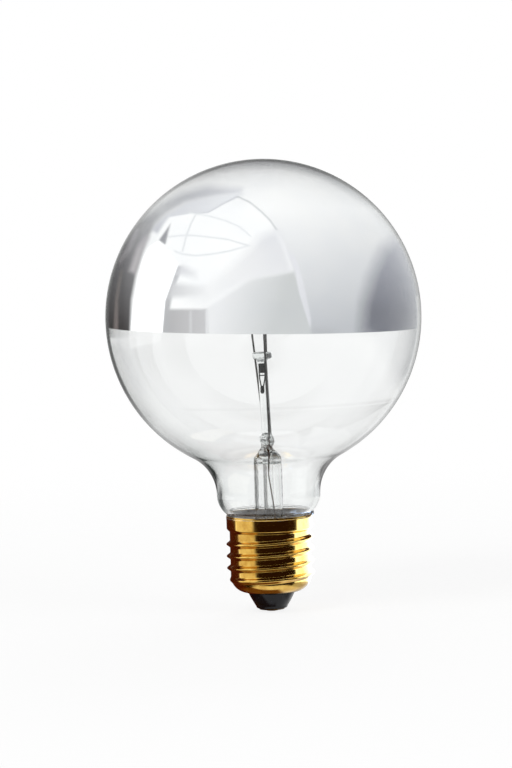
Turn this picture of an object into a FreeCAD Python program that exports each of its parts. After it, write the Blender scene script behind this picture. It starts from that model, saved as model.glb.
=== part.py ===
import FreeCAD, Part
import math
import os
from types import SimpleNamespace

import Sketcher

# Globe lamp with a mirrored crown and a 27 mm Edison screw cap.
# Millimetres. The origin is the lowest point of the centre contact, +Z runs along the lamp's axis
# to the crown, -Y is the front and the cap's side solder is at +X.

driving_sizes = {
    # glass envelope
    "globe_diameter": 95.0,
    "glass_wall": 0.8,
    "neck_radius": 15.6,
    "neck_fillet": 13.3,  # hollow blend from the globe into the neck
    "neck_straight": 1.6,  # upright glass between that blend and the cone
    "neck_cone": 4.5,  # height of the cone above the cap's rim
    "neck_bend": 2.5,  # bends at both ends of the cone
    "tail_depth": 8.0,  # glass below the rim, inside the cap
    "tail_gap": 0.63,  # room between that glass and the shell
    "rim_gap": 0.7,  # room between glass and collar at the rim
    "mirror_film": 0.1,
    "mirror_gap": 0.06,  # keeps the film's facets clear of the glass
    "mirror_drop": 2.6,  # edge of the mirror below the globe's centre
    # screw cap
    "solder_rise": 0.6,
    "solder_radius": 2.6,
    "plate_radius": 4.1,
    "plate_proud": 0.4,  # plate below the insulator's foot
    "plate_sink": 0.3,  # plate let into the foot
    "plate_hole": 0.35,
    "insulator_height": 5.0,  # foot to lip
    "insulator_foot": 4.7,
    "insulator_edge": 0.4,  # bevel of the foot, up the cone
    "insulator_edge_foot": 0.2,  # and along the foot
    "insulator_rise": 2.5,  # inside the shell, above the lip
    "insulator_hole": 1.2,
    "shell_height": 23.4,
    "shell_wall": 0.3,
    "shoulder_radius": 4.8,
    "thread_diameter": 26.45,
    "thread_depth": 1.095,
    "thread_pitch": 3.629,
    "thread_crest": 1.025,
    "thread_flank": 62.3,  # degrees round the crest to where the flank leaves it
    "thread_root": 0.45,  # foot of the ridge below the sheet's outside
    "thread_foot": 4.6,  # where the full ridge starts, above the lip
    "thread_clear": 1.0,  # least height from the full ridge's end to the collar's step
    "thread_sink": 1.8,  # depth in the shoulder from which the ridge rises
    "collar_inset": 0.225,  # collar inside the thread's crest
    "collar_height": 4.0,
    "collar_step": 0.9,
    "cement_depth": 3.4,
    "cement_inset": 0.1,  # cement behind the collar's outside
    "cement_slot": 6.0,  # degrees left open for the side lead
    "side_solder_radius": 0.9,
    "side_solder_rise": 0.55,
    # stem and press
    "stem_radius": 4.25,
    "stem_wall": 0.9,
    "stem_height": 25.5,  # seal to the top of the tube
    "stem_roof": 0.6,  # glass that closes the tube
    "seal_ledge": 1.45,  # flat ring that the neck is fused to
    "press_heading": 102.0,  # degrees from +X to the press's broad side
    "press_height": 7.5,
    "press_root_share": 0.25,  # heights of the sections as shares of the press
    "press_waist_share": 0.48,
    "press_bead_share": 0.8,
    "press_root_thick": 5.8,
    "press_root_broad": 8.4,
    "press_waist_thick": 2.7,
    "press_waist_broad": 7.8,
    "press_bead_thick": 4.5,
    "press_bead_broad": 7.6,
    "press_top_thick": 3.4,
    "press_top_broad": 6.6,
    "exhaust_radius": 1.5,
    "exhaust_wall": 0.5,
    "exhaust_length": 29.0,
    # rod and wires
    "rod_radius": 1.45,
    "rod_length": 22.0,
    "button_radius": 2.9,
    "button_height": 2.1,
    "button_edge": 0.8,
    "inner_lead_radius": 0.27,
    "seal_wire_radius": 0.25,
    "outer_lead_radius": 0.2,
    "front_azimuth": -86.0,
    "rear_azimuth": 110.0,
    "seal_bore_over": 0.3,  # seal bore past the stem's roof
    "seal_stub": 0.6,  # seal wire above the press
    "seal_tail": 3.6,  # seal wire below the stem's roof
    "lead_rise": 1.5,  # upright lead above its weld
    "lead_tip": 4.5,  # upright lead below the filament
    "lead_bend": 6.0,
    "filament_radius": 0.3,
    "filament_ring": 10.5,
    "filament_rise": 9.5,  # above the button
    "filament_overhang": 3.0,  # degrees past each lead
    "support_radius": 0.15,
    "support_seat": 0.7,
    "support_rise": 6.4,
    "support_tip": 1.2,
    "support_hook": 0.6,
    "support_bend": 0.8,
    "contact_bend": 1.2,
    "contact_drop": 4.0,  # exhaust tip to where the contact lead turns in
    "contact_slant": 2.4,
    "side_lead_lean": 1.3,
    "side_lead_drop": 1.6,  # under the flare
    "side_lead_turn": 1.3,
    "side_lead_foot": 0.4,  # lower bend of the step out to the collar
    "side_lead_kink": 1.6,  # upper bend of that step
    "side_lead_bend": 0.3,
    "flag_height": 14.8,  # foot of the flag above the lead's first bend
    "flag_length": 4.0,
    "flag_breadth": 1.9,
    "flag_tail": 4.8,
    "flag_tail_breadth": 0.9,
    "flag_sheet": 0.2,
    "wire_play": 0.02,  # between wires that only touch
}

supports = 3
crest_flats = 4  # flats that draw the thread's round crest
fade_turns = 0.5
thread_lap = 0.004  # turns by which the rising ridge runs into the full one

doc = FreeCAD.newDocument("globe_lamp")
sheet = doc.addObject("Spreadsheet::Sheet", "sizes")
for row, (alias, number) in enumerate(driving_sizes.items(), start=1):
    sheet.set(f"A{row}", alias)
    sheet.set(f"B{row}", str(number))
    sheet.setAlias(f"B{row}", alias)
doc.recompute()


class Size:
    """A size with its number and the sheet expression that gives it."""

    def __init__(self, number, text):
        self.number = number
        self.text = text

    def join(self, other, mark, number):
        return Size(number, f"({self.text} {mark} {size(other).text})")

    def __add__(self, other):
        return self.join(other, "+", self.number + size(other).number)

    def __sub__(self, other):
        return self.join(other, "-", self.number - size(other).number)

    def __mul__(self, other):
        return self.join(other, "*", self.number * size(other).number)

    def __truediv__(self, other):
        return self.join(other, "/", self.number / size(other).number)

    def __neg__(self):
        return Size(-self.number, f"(-1 * {self.text})")


def size(value):
    return value if isinstance(value, Size) else Size(float(value), str(value))


def root(value):
    return Size(math.sqrt(value.number), f"sqrt({value.text})")


def sine(angle):
    return Size(math.sin(math.radians(angle.number)), f"sin({angle.text})")


def cosine(angle):
    return Size(math.cos(math.radians(angle.number)), f"cos({angle.text})")


def heading(across, along):
    """The angle in degrees of a line that runs along and across."""
    number = math.degrees(math.atan2(across.number, along.number))
    return Size(number, f"(atan2({across.text}; {along.text}) / 1 deg)")


dim = SimpleNamespace(**{alias: Size(float(sheet.get(alias)), f"sizes.{alias}") for alias in driving_sizes})
zero = size(0)


def plane(body, role):
    return next(feature for feature in body.Origin.OriginFeatures if feature.Role == role)


def new_body(label, azimuth=None):
    """A body whose own XZ plane stands at an azimuth round the lamp's axis."""
    body = doc.addObject("PartDesign::Body", label)
    body.Label = label
    if azimuth is not None:
        body.Placement = FreeCAD.Placement(
            FreeCAD.Vector(0, 0, 0), FreeCAD.Rotation(FreeCAD.Vector(0, 0, 1), azimuth.number)
        )
        body.setExpression("Placement.Rotation.Angle", azimuth.text)
    return body


def new_sketch(body, name, role="XZ_Plane", lift=None):
    sketch = body.newObject("Sketcher::SketchObject", name)
    sketch.AttachmentSupport = [(plane(body, role), "")]
    sketch.MapMode = "FlatFace"
    if lift is not None:
        sketch.AttachmentOffset = FreeCAD.Placement(FreeCAD.Vector(0, 0, lift.number), FreeCAD.Rotation())
        sketch.setExpression("AttachmentOffset.Base.z", lift.text)
    return sketch


def bind(sketch, constraint, value):
    index = sketch.addConstraint(constraint)
    sketch.setExpression(f"Constraints[{index}]", value.text)


def locate(sketch, geometry, end, place):
    """Holds one end of a sketch element at a place measured from the sketch's origin."""
    for kind, axis, value in (("DistanceX", -2, place[0]), ("DistanceY", -1, place[1])):
        if value is zero:
            sketch.addConstraint(Sketcher.Constraint("PointOnObject", geometry, end, axis))
        else:
            bind(sketch, Sketcher.Constraint(kind, -1, 1, geometry, end, value.number), value)


def vector(place):
    return FreeCAD.Vector(place[0].number, place[1].number, 0)


def arc_between(start, finish, radius, side):
    """The short arc from start to finish, with its centre to the left (1) or right (-1) of the way."""
    chord = finish - start
    across = FreeCAD.Vector(-chord.y, chord.x, 0)
    across.normalize()
    sagitta_arm = math.sqrt(max(radius**2 - chord.Length**2 / 4, 0.0))
    centre = (start + finish) / 2 + across * (side * sagitta_arm)
    first, last = (start, finish) if side > 0 else (finish, start)
    circle = Part.Circle(centre, FreeCAD.Vector(0, 0, 1), radius)
    begin = math.atan2(first.y - centre.y, first.x - centre.x)
    end = math.atan2(last.y - centre.y, last.x - centre.x)
    if end < begin:
        end += 2 * math.pi
    return Part.ArcOfCircle(circle, begin, end)


def outline(sketch, corners, arcs=None):
    """A closed outline. arcs gives, for the edge that leaves a corner, its radius and its side."""
    arcs = arcs or {}
    edges = []
    for index, corner in enumerate(corners):
        start = vector(corner)
        finish = vector(corners[(index + 1) % len(corners)])
        if index in arcs:
            radius, side = arcs[index]
            edge = sketch.addGeometry(arc_between(start, finish, radius.number, side), False)
            edges.append((edge, 1, 2) if side > 0 else (edge, 2, 1))
        else:
            edges.append((sketch.addGeometry(Part.LineSegment(start, finish), False), 1, 2))
    for index, (edge, first, last) in enumerate(edges):
        before, before_first, before_last = edges[index - 1]
        sketch.addConstraint(Sketcher.Constraint("Coincident", before, before_last, edge, first))
        locate(sketch, edge, first, corners[index])
    for index, (radius, side) in arcs.items():
        bind(sketch, Sketcher.Constraint("Radius", edges[index][0], radius.number), radius)


def ring(sketch, centre, radius):
    circle = Part.Circle(vector(centre), FreeCAD.Vector(0, 0, 1), radius.number)
    edge = sketch.addGeometry(circle, False)
    locate(sketch, edge, 3, centre)
    bind(sketch, Sketcher.Constraint("Radius", edge, radius.number), radius)


def oval(sketch, thick, broad):
    """An ellipse about the origin, thick along the sketch's X and broad along its Y."""
    origin = FreeCAD.Vector(0, 0, 0)
    major = FreeCAD.Vector(0, broad.number / 2, 0)
    minor = FreeCAD.Vector(-thick.number / 2, 0, 0)
    edge = sketch.addGeometry(Part.Ellipse(major, minor, origin), False)
    sketch.exposeInternalGeometry(edge)
    long_axis, short_axis = edge + 1, edge + 2
    sketch.addConstraint(Sketcher.Constraint("Coincident", edge, 3, -1, 1))
    sketch.addConstraint(Sketcher.Constraint("Vertical", long_axis))
    bind(sketch, Sketcher.Constraint("Distance", long_axis, broad.number), broad)
    bind(sketch, Sketcher.Constraint("Distance", short_axis, thick.number), thick)


def revolve(body, sketch, name, angle=None):
    turned = body.newObject("PartDesign::Revolution", name)
    turned.Profile = (sketch, [""])
    turned.ReferenceAxis = (sketch, ["V_Axis"])
    turned.Angle = 360 if angle is None else angle.number
    if angle is not None:
        turned.setExpression("Angle", angle.text)
    return turned


def turned_piece(label, corners, arcs=None):
    body = new_body(label)
    sketch = new_sketch(body, label + "_section")
    outline(sketch, corners, arcs)
    revolve(body, sketch, label + "_turned")
    return body


def pipe(body, label, radius, corners, bends):
    """Round wire through the corners, each rounded by its bend. The first run is upright."""
    path = new_sketch(body, label + "_path")
    points = [vector(corner) for corner in corners]
    inner = range(1, len(points) - 1)
    cut = {0: points[0], len(points) - 1: points[-1]}
    arcs = {}
    for index in inner:
        back = (points[index - 1] - points[index]).normalize()
        ahead = (points[index + 1] - points[index]).normalize()
        reach = bends[index - 1].number / math.tan(back.getAngle(ahead) / 2)
        side = 1 if back.x * ahead.y - back.y * ahead.x < 0 else -1
        start, finish = points[index] + back * reach, points[index] + ahead * reach
        arcs[index] = (start, finish, side)
    runs = []
    for index in range(len(points) - 1):
        start = arcs[index][1] if index in arcs else cut[index]
        finish = arcs[index + 1][0] if index + 1 in arcs else cut[index + 1]
        runs.append(path.addGeometry(Part.LineSegment(start, finish), False))
    locate(path, runs[0], 1, corners[0])
    locate(path, runs[-1], 2, corners[-1])
    for index in inner:
        start, finish, side = arcs[index]
        bend = path.addGeometry(arc_between(start, finish, bends[index - 1].number, side), False)
        near, far = (1, 2) if side > 0 else (2, 1)
        path.addConstraint(Sketcher.Constraint("Tangent", runs[index - 1], 2, bend, near))
        path.addConstraint(Sketcher.Constraint("Tangent", bend, far, runs[index], 1))
        bind(path, Sketcher.Constraint("Radius", bend, bends[index - 1].number), bends[index - 1])
        corner = path.addGeometry(Part.Point(points[index]), True)
        locate(path, corner, 1, corners[index])
        path.addConstraint(Sketcher.Constraint("PointOnObject", corner, 1, runs[index - 1]))
        path.addConstraint(Sketcher.Constraint("PointOnObject", corner, 1, runs[index]))
    section = new_sketch(body, label + "_section", "XY_Plane", corners[0][1])
    ring(section, (corners[0][0], zero), radius)
    swept = body.newObject("PartDesign::AdditivePipe", label + "_swept")
    swept.Profile = (section, [""])
    swept.Spine = (path, [])
    return swept


# Heights along the axis, from the contact up
plate_foot = dim.solder_rise
insulator_foot_height = plate_foot + dim.plate_proud
lip_height = insulator_foot_height + dim.insulator_height
rim_height = lip_height + dim.shell_height
seal_height = rim_height - dim.tail_depth
neck_foot = rim_height + dim.neck_cone
blend_foot = neck_foot + dim.neck_straight
globe_radius = dim.globe_diameter / 2
blend_arm = globe_radius + dim.neck_fillet
blend_centre = dim.neck_radius + dim.neck_fillet
blend_rise = root(blend_arm * blend_arm - blend_centre * blend_centre)
globe_centre = blend_foot + blend_rise
stem_top = seal_height + dim.stem_height
press_top = stem_top + dim.press_height
button_foot = press_top + dim.rod_length
button_top = button_foot + dim.button_height
filament_height = button_top + dim.filament_rise

# Radii of the cap that the glass, the cement and the insulator share
crest_radius = dim.thread_diameter / 2
sheet_radius = crest_radius - dim.thread_depth
bore_radius = sheet_radius - dim.shell_wall
collar_radius = crest_radius - dim.collar_inset
collar_bore = collar_radius - dim.shell_wall
lip_radius = sheet_radius - dim.shoulder_radius
shoulder_height = lip_height + dim.shoulder_radius
collar_foot = rim_height - dim.collar_height
step_foot = collar_foot - dim.collar_step

# Glass inside the cap
tail_radius = bore_radius - dim.tail_gap
rim_glass = collar_bore - dim.rim_gap
cone_run = dim.neck_radius - rim_glass
cone_slant = root(cone_run * cone_run + dim.neck_cone * dim.neck_cone)
cone_half = cone_run / (cone_slant + dim.neck_cone)
cone_foot = rim_height - (rim_glass - tail_radius) * dim.neck_cone / cone_run


def cone_bends(wall, upper_bend, lower_bend):
    """The four tangent points of the cone's two bends, on the skin that lies a wall inside the glass."""
    lift = wall * cone_half
    upper = upper_bend * cone_half
    lower = lower_bend * cone_half
    neck = dim.neck_radius - wall
    tail = tail_radius - wall
    return [
        (neck, neck_foot + lift + upper),
        (neck - upper * cone_run / cone_slant, neck_foot + lift - upper * dim.neck_cone / cone_slant),
        (tail + lower * cone_run / cone_slant, cone_foot + lift + lower * dim.neck_cone / cone_slant),
        (tail, cone_foot + lift - lower),
    ]


def glass_globe():
    """Blown envelope: globe, hollow blend, upright neck, cone and the tail inside the cap."""
    wall = dim.glass_wall
    inner_radius = globe_radius - wall
    inner_fillet = dim.neck_fillet + wall
    outer_share = globe_radius / blend_arm
    inner_share = inner_radius / blend_arm
    outer_cone = cone_bends(zero, dim.neck_bend, dim.neck_bend)
    inner_cone = cone_bends(wall, dim.neck_bend - wall, dim.neck_bend + wall)
    corners = [
        (zero, globe_centre + globe_radius),
        (blend_centre * outer_share, globe_centre - blend_rise * outer_share),
        (dim.neck_radius, blend_foot),
        *outer_cone,
        (tail_radius, seal_height),
        (tail_radius - wall, seal_height),
        *reversed(inner_cone),
        (dim.neck_radius - wall, blend_foot),
        (blend_centre * inner_share, globe_centre - blend_rise * inner_share),
        (zero, globe_centre + inner_radius),
    ]
    arcs = {
        0: (globe_radius, -1),
        1: (dim.neck_fillet, 1),
        3: (dim.neck_bend, -1),
        5: (dim.neck_bend, 1),
        9: (dim.neck_bend + wall, -1),
        11: (dim.neck_bend - wall, 1),
        13: (inner_fillet, -1),
        14: (inner_radius, 1),
    }
    return turned_piece("glass_globe", corners, arcs)


def crown_mirror():
    """Metal film on the inside of the upper half, ending in a level edge."""
    face = globe_radius - dim.glass_wall - dim.mirror_gap
    back = face - dim.mirror_film
    edge = globe_centre - dim.mirror_drop
    drop = dim.mirror_drop * dim.mirror_drop
    corners = [
        (zero, globe_centre + face),
        (root(face * face - drop), edge),
        (root(back * back - drop), edge),
        (zero, globe_centre + back),
    ]
    return turned_piece("crown_mirror", corners, {0: (face, -1), 2: (back, 1)})


def lead_circle():
    """Distance of the wires from the axis: midway between the exhaust tube and the stem's wall."""
    return (dim.exhaust_radius + dim.stem_radius - dim.stem_wall) / 2


def stem_flare():
    """Stem tube with its flared foot, and the press lofted from the tube up to the bead."""
    wall = dim.stem_wall
    flare = tail_radius - dim.seal_ledge - dim.stem_radius
    curve_top = seal_height + flare
    curve_end = dim.stem_radius + flare
    bore = dim.stem_radius - wall
    roof = stem_top - dim.stem_roof
    corners = [
        (zero, stem_top),
        (dim.stem_radius, stem_top),
        (dim.stem_radius, curve_top),
        (curve_end, seal_height),
        (tail_radius, seal_height),
        (tail_radius, seal_height - wall),
        (curve_end, seal_height - wall),
        (bore, curve_top),
        (bore, roof),
        (zero, roof),
    ]
    body = new_body("stem_flare", dim.press_heading - 90)
    sketch = new_sketch(body, "stem_section")
    outline(sketch, corners, {2: (flare, 1), 6: (flare + wall, -1)})
    revolve(body, sketch, "stem_turned")
    sections = [
        (zero, dim.stem_radius * 2, dim.stem_radius * 2),
        (dim.press_height * dim.press_root_share, dim.press_root_thick, dim.press_root_broad),
        (dim.press_height * dim.press_waist_share, dim.press_waist_thick, dim.press_waist_broad),
        (dim.press_height * dim.press_bead_share, dim.press_bead_thick, dim.press_bead_broad),
        (dim.press_height, dim.press_top_thick, dim.press_top_broad),
    ]
    drawn = []
    for index, (rise, thick, broad) in enumerate(sections):
        drawn.append(new_sketch(body, f"press_section_{index}", "XY_Plane", stem_top + rise))
        oval(drawn[-1], thick, broad)
    press = body.newObject("PartDesign::AdditiveLoft", "press_loft")
    press.Profile = (drawn[0], [""])
    press.Sections = [(sketch, [""]) for sketch in drawn[1:]]
    doc.recompute()
    holes = new_sketch(body, "seal_holes", "XY_Plane", press_top)
    turn = dim.press_heading - 90
    for azimuth in (dim.front_azimuth, dim.rear_azimuth):
        angle = azimuth - turn
        ring(holes, (lead_circle() * cosine(angle), lead_circle() * sine(angle)), dim.seal_wire_radius)
    bored = body.newObject("PartDesign::Pocket", "seal_bores")
    bored.Profile = (holes, [""])
    bored.Type = "Length"
    depth = dim.press_height + dim.stem_roof + dim.seal_bore_over
    bored.Length = depth.number
    bored.setExpression("Length", depth.text)
    return body


def exhaust_tube():
    """Thin tube from the stem's roof down to its sealed tip."""
    top = stem_top - dim.stem_roof
    tip = top - dim.exhaust_length
    outer = dim.exhaust_radius
    inner = outer - dim.exhaust_wall
    corners = [
        (inner, top),
        (outer, top),
        (outer, tip + outer),
        (zero, tip),
        (zero, tip + dim.exhaust_wall),
        (inner, tip + outer),
    ]
    return turned_piece("exhaust_tube", corners, {2: (outer, -1), 4: (inner, 1)})


def glass_rod():
    """Solid rod on the press, its top melted to a flat button."""
    edge = dim.button_edge
    corners = [
        (zero, press_top),
        (dim.rod_radius, press_top),
        (dim.rod_radius, button_foot),
        (dim.button_radius - edge, button_foot),
        (dim.button_radius, button_foot + edge),
        (dim.button_radius, button_top - edge),
        (dim.button_radius - edge, button_top),
        (zero, button_top),
    ]
    return turned_piece("glass_rod", corners, {3: (edge, 1), 5: (edge, 1)})


weld_top = press_top + dim.seal_stub
weld_foot = stem_top - dim.stem_roof - dim.seal_tail
lead_start = weld_top + dim.lead_rise
lead_end = filament_height - dim.lead_tip


def inner_lead(label, azimuth):
    """Stout wire that leans out from the press and ends upright under the filament."""
    body = new_body(label, azimuth)
    tip = filament_height - dim.filament_radius - dim.wire_play
    corners = [
        (lead_circle(), weld_top),
        (lead_circle(), lead_start),
        (dim.filament_ring, lead_end),
        (dim.filament_ring, tip),
    ]
    pipe(body, label, dim.inner_lead_radius, corners, [dim.lead_bend, dim.lead_bend])
    return body


def seal_wire(label, azimuth):
    body = new_body(label, azimuth)
    sketch = new_sketch(body, label + "_section", "XY_Plane", weld_foot)
    ring(sketch, (lead_circle(), zero), dim.seal_wire_radius)
    rod = body.newObject("PartDesign::Pad", label + "_drawn")
    rod.Profile = (sketch, [""])
    length = weld_top - weld_foot
    rod.Length = length.number
    rod.setExpression("Length", length.text)
    return body


def contact_lead():
    """Thin wire from the rear seal wire, past the exhaust tip and down the axis to the contact."""
    body = new_body("contact_lead", dim.rear_azimuth)
    turn = stem_top - dim.stem_roof - dim.exhaust_length - dim.contact_drop + dim.exhaust_radius
    corners = [
        (lead_circle(), weld_foot),
        (lead_circle(), turn),
        (zero, turn - dim.contact_slant),
        (zero, plate_foot),
    ]
    pipe(body, "contact_lead", dim.outer_lead_radius, corners, [dim.contact_bend, dim.contact_bend])
    return body


def shell_lead():
    """Thin wire from the front seal wire, round the flare's edge and up the glass to the rim."""
    start_x = lead_circle() * cosine(dim.front_azimuth)
    start_y = lead_circle() * sine(dim.front_azimuth)
    at_rim = collar_bore - dim.rim_gap / 2
    at_tail = bore_radius - dim.tail_gap / 2
    run_x = at_rim - start_x
    reach = root(run_x * run_x + start_y * start_y)
    rise = reach - (at_rim - at_tail)
    under = seal_height - dim.stem_wall - dim.side_lead_drop
    over = rim_height + dim.outer_lead_radius + dim.wire_play
    body = new_body("shell_lead", heading(-start_y, run_x))
    body.Placement.Base = FreeCAD.Vector(start_x.number, start_y.number, 0)
    body.setExpression("Placement.Base.x", start_x.text)
    body.setExpression("Placement.Base.y", start_y.text)
    corners = [
        (zero, weld_foot),
        (zero, weld_foot - dim.side_lead_turn),
        (dim.side_lead_lean, under),
        (rise, under),
        (rise, collar_foot + dim.side_lead_foot),
        (reach, collar_foot + dim.side_lead_kink),
        (reach, over),
        (reach + dim.rim_gap / 2 + dim.shell_wall - dim.wire_play * 2, over),
    ]
    tight = dim.side_lead_bend
    turn = dim.side_lead_turn
    pipe(body, "shell_lead", dim.outer_lead_radius, corners, [turn, turn, turn, tight, tight, tight])
    return body


def filament():
    """Coiled wire, drawn as the round of its coil, from one lead to the other."""
    body = new_body("filament", dim.front_azimuth - dim.filament_overhang)
    sketch = new_sketch(body, "filament_section")
    ring(sketch, (dim.filament_ring, filament_height), dim.filament_radius)
    angle = dim.rear_azimuth - dim.front_azimuth + dim.filament_overhang * 2
    revolve(body, sketch, "filament_turned", angle)
    return body


def filament_support(number):
    """Fine wire from the button to the outside of the filament."""
    label = f"filament_support_{number}"
    azimuth = dim.front_azimuth + (dim.rear_azimuth - dim.front_azimuth) * number / (supports + 1)
    body = new_body(label, azimuth)
    outside = dim.filament_ring + dim.filament_radius + dim.support_radius + dim.wire_play
    corners = [
        (dim.support_seat, button_top),
        (dim.support_seat, button_top + dim.support_rise),
        (outside, filament_height - dim.support_tip),
        (outside, filament_height + dim.support_hook),
    ]
    pipe(body, label, dim.support_radius, corners, [dim.support_bend, dim.support_bend])
    return body


def getter_flag():
    """Small strip along the outer side of the front lead, broad above and narrow below."""
    body = new_body("getter_flag", dim.front_azimuth)
    run = dim.filament_ring - lead_circle()
    climb = lead_end - lead_start
    slant = root(run * run + climb * climb)
    near = (dim.inner_lead_radius + dim.wire_play) * slant / climb
    far = near + dim.flag_sheet * slant / climb

    def along(height, offset):
        return (lead_circle() + run * (height - lead_start) / climb + offset, height)

    tail_foot = lead_start + dim.flag_height - dim.flag_tail
    foot = lead_start + dim.flag_height
    top = foot + dim.flag_length
    for name, low, high, breadth in (
        ("flag_blade", foot, top, dim.flag_breadth),
        ("flag_tail", tail_foot, foot, dim.flag_tail_breadth),
    ):
        sketch = new_sketch(body, name + "_section")
        outline(sketch, [along(low, near), along(low, far), along(high, far), along(high, near)])
        blade = body.newObject("PartDesign::Pad", name)
        blade.Profile = (sketch, [""])
        blade.Length = breadth.number
        blade.setExpression("Length", breadth.text)
    return body


def screw_shell():
    """Pressed brass cap: collar, step, threaded barrel and a round shoulder down to the lip."""
    wall = dim.shell_wall
    outside = [
        (zero, rim_height),
        (collar_radius, rim_height),
        (collar_radius, collar_foot),
        (sheet_radius, step_foot),
        (sheet_radius, shoulder_height),
        (lip_radius, lip_height),
        (zero, lip_height),
    ]
    inside = [
        (zero, rim_height),
        (collar_bore, rim_height),
        (collar_bore, collar_foot),
        (bore_radius, step_foot),
        (bore_radius, shoulder_height),
        (lip_radius, lip_height + wall),
        (lip_radius, lip_height),
        (zero, lip_height),
    ]
    body = new_body("screw_shell", size(180))
    blank = new_sketch(body, "shell_outside")
    outline(blank, outside, {4: (dim.shoulder_radius, -1)})
    revolve(body, blank, "shell_blank")
    start = lip_height + dim.thread_foot
    room = step_foot - dim.thread_clear - start
    half_turns = math.floor(room.number / dim.thread_pitch.number * 2)
    full_turns = half_turns / 2
    end = start + dim.thread_pitch * full_turns
    end_side = -1 if half_turns % 2 else 1
    fade = dim.thread_pitch * fade_turns
    ridge(body, "thread_rise", -1, start - fade, fade_turns + thread_lap, dim.thread_sink, dim.thread_sink)
    ridge(body, "thread_full", 1, start, full_turns, zero, zero)
    ridge(body, "thread_fall", end_side, end, fade_turns, zero, -dim.thread_depth)
    cavity = new_sketch(body, "shell_inside")
    outline(cavity, inside, {4: (dim.shoulder_radius - wall, -1)})
    hollow = body.newObject("PartDesign::Groove", "shell_hollow")
    hollow.Profile = (cavity, [""])
    hollow.ReferenceAxis = (cavity, ["V_Axis"])
    hollow.Angle = 360
    return body


def ridge(body, name, side, start, turns, sunk, climb):
    """A stretch of rolled thread. It starts on one side of the axis, sunk below the full ridge, and
    its crest climbs outwards over its turns."""
    crest = crest_radius - dim.thread_crest - sunk
    base = sheet_radius - dim.thread_root - sunk
    round_points = []
    for step in range(crest_flats + 1):
        angle = dim.thread_flank * (2 * step / crest_flats - 1)
        round_points.append((crest + dim.thread_crest * cosine(angle), dim.thread_crest * sine(angle)))
    slope = cosine(dim.thread_flank) / sine(dim.thread_flank)
    spread = (round_points[-1][0] - base) * slope
    section = [
        (base, round_points[0][1] - spread),
        *round_points,
        (base, round_points[-1][1] + spread),
    ]
    sketch = new_sketch(body, name + "_section")
    outline(sketch, [(across * side, start + along) for across, along in section])
    wound = body.newObject("PartDesign::AdditiveHelix", name)
    wound.Profile = (sketch, [""])
    wound.ReferenceAxis = (sketch, ["V_Axis"])
    wound.Mode = "height-turns-growth"
    height = dim.thread_pitch * turns
    wound.Height = height.number
    wound.setExpression("Height", height.text)
    wound.Turns = turns
    if climb is not zero:
        growth = climb / turns
        wound.Growth = growth.number
        wound.setExpression("Growth", growth.text)


def insulator():
    """Black glass moulded into the shoulder, a cone below the lip, with a seat for the plate."""
    curve = dim.shoulder_radius - dim.shell_wall
    top = lip_height + dim.insulator_rise
    below_centre = dim.shoulder_radius - dim.insulator_rise
    seat = insulator_foot_height + dim.plate_sink
    edge = dim.insulator_edge
    foot = dim.insulator_foot
    slope = lip_radius - foot
    slant = root(slope * slope + dim.insulator_height * dim.insulator_height)
    corners = [
        (dim.insulator_hole, top),
        (dim.insulator_hole, seat),
        (dim.plate_radius + dim.wire_play, seat),
        (dim.plate_radius + dim.wire_play, insulator_foot_height),
        (foot - dim.insulator_edge_foot, insulator_foot_height),
        (foot + edge * slope / slant, insulator_foot_height + edge * dim.insulator_height / slant),
        (lip_radius, lip_height),
        (lip_radius, lip_height + dim.shell_wall),
        (lip_radius + root(curve * curve - below_centre * below_centre), top),
    ]
    return turned_piece("insulator", corners, {7: (curve, 1)})


def contact_plate():
    top = insulator_foot_height + dim.plate_sink
    corners = [
        (dim.plate_hole, plate_foot),
        (dim.plate_radius, plate_foot),
        (dim.plate_radius, top),
        (dim.plate_hole, top),
    ]
    return turned_piece("contact_plate", corners)


def contact_solder():
    """Low dome under the plate; its round comes from its height and its radius."""
    rise = dim.solder_rise
    dome = (dim.solder_radius * dim.solder_radius + rise * rise) / (rise * 2)
    corners = [(zero, zero), (dim.solder_radius, plate_foot), (zero, plate_foot)]
    return turned_piece("contact_solder", corners, {0: (dome, 1)})


def side_solder():
    """Small dome on the collar's outside, over the end of the side lead."""
    rise = dim.side_solder_rise
    across = dim.side_solder_radius
    dome = (across * across + rise * rise) / (rise * 2)
    middle = rim_height + dim.outer_lead_radius
    body = new_body("side_solder")
    sketch = new_sketch(body, "side_solder_section")
    corners = [
        (collar_radius, middle),
        (collar_radius + rise, middle),
        (collar_radius, middle + across),
    ]
    outline(sketch, corners, {1: (dome, 1)})
    turned = body.newObject("PartDesign::Revolution", "side_solder_turned")
    turned.Profile = (sketch, [""])
    turned.ReferenceAxis = (sketch, ["Edge1"])
    turned.Angle = 360
    return body


def basing_cement():
    """Ring that fills the room between glass and collar, with a slot for the side lead."""
    foot = collar_foot + dim.collar_height - dim.cement_depth
    outside = collar_radius - dim.cement_inset
    crown = rim_height + (outside - rim_glass) * dim.neck_cone / cone_run
    bends = cone_bends(zero, dim.neck_bend, dim.neck_bend)
    corners = [
        (collar_bore, foot),
        (collar_bore, rim_height),
        (outside, rim_height),
        (outside, crown),
        bends[2],
        bends[3],
        (tail_radius, foot),
    ]
    body = new_body("basing_cement", dim.cement_slot / 2)
    sketch = new_sketch(body, "cement_section")
    outline(sketch, corners, {4: (dim.neck_bend, 1)})
    revolve(body, sketch, "cement_turned", size(360) - dim.cement_slot)
    return body


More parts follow.
